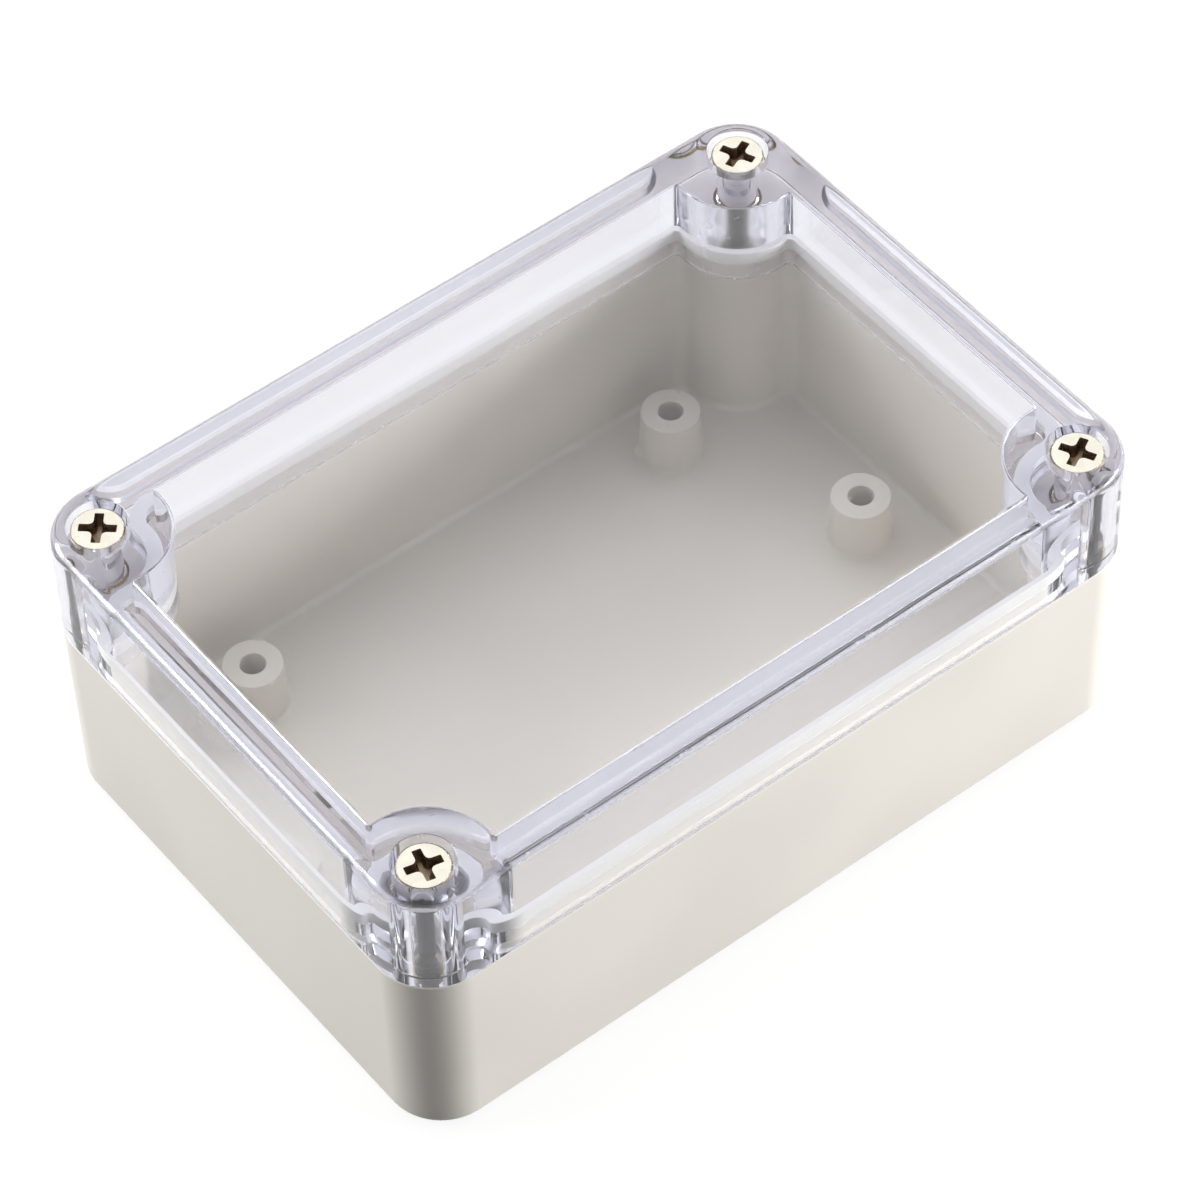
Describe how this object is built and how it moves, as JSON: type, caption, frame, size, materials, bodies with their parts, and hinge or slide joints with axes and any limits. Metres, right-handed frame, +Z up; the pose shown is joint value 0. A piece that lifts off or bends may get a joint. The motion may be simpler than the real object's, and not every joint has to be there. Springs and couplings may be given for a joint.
{
  "type": "clear lid junction box",
  "caption": "Sealed rectangular electronics box: grey plastic tub with board standoffs, thick clear lid on a tongue and groove gasket, held by corner screws.",
  "frame": {"origin": "middle of the flat underside", "axes": "+X along the long sides, +Y along the short sides, +Z up out of the lid"},
  "size_m": [0.1, 0.0698, 0.0403],
  "materials": {
    "tub_plastic": "satin moulded ABS, warm light grey",
    "clear_plastic": "clear polished polycarbonate with a faint lavender tint at the edges",
    "gasket_rubber": "off-white silicone",
    "plated_steel": "bright plated steel, warm in tone",
    "insert_brass": "turned brass"
  },
  "bodies": {
    "base": {"base": "tub_plastic", "insert_front": "insert_brass", "insert_right": "insert_brass", "insert_back": "insert_brass", "insert_left": "insert_brass"},
    "lid": {"lid": "clear_plastic", "gasket": "gasket_rubber"},
    "screw_front": {"screw_front": "plated_steel"},
    "screw_right": {"screw_right": "plated_steel"},
    "screw_back": {"screw_back": "plated_steel"},
    "screw_left": {"screw_left": "plated_steel"}
  },
  "joints": [
    {"name": "lid_lift", "type": "slide", "parent": "base", "child": "lid", "axis": [0, 0, 1], "range_m": [0, 0.05]},
    {"name": "screw_front_out", "type": "slide", "parent": "lid", "child": "screw_front", "axis": [0, 0, 1], "range_m": [0, 0.024]},
    {"name": "screw_right_out", "type": "slide", "parent": "lid", "child": "screw_right", "axis": [0, 0, 1], "range_m": [0, 0.024]},
    {"name": "screw_back_out", "type": "slide", "parent": "lid", "child": "screw_back", "axis": [0, 0, 1], "range_m": [0, 0.024]},
    {"name": "screw_left_out", "type": "slide", "parent": "lid", "child": "screw_left", "axis": [0, 0, 1], "range_m": [0, 0.024]}
  ]
}
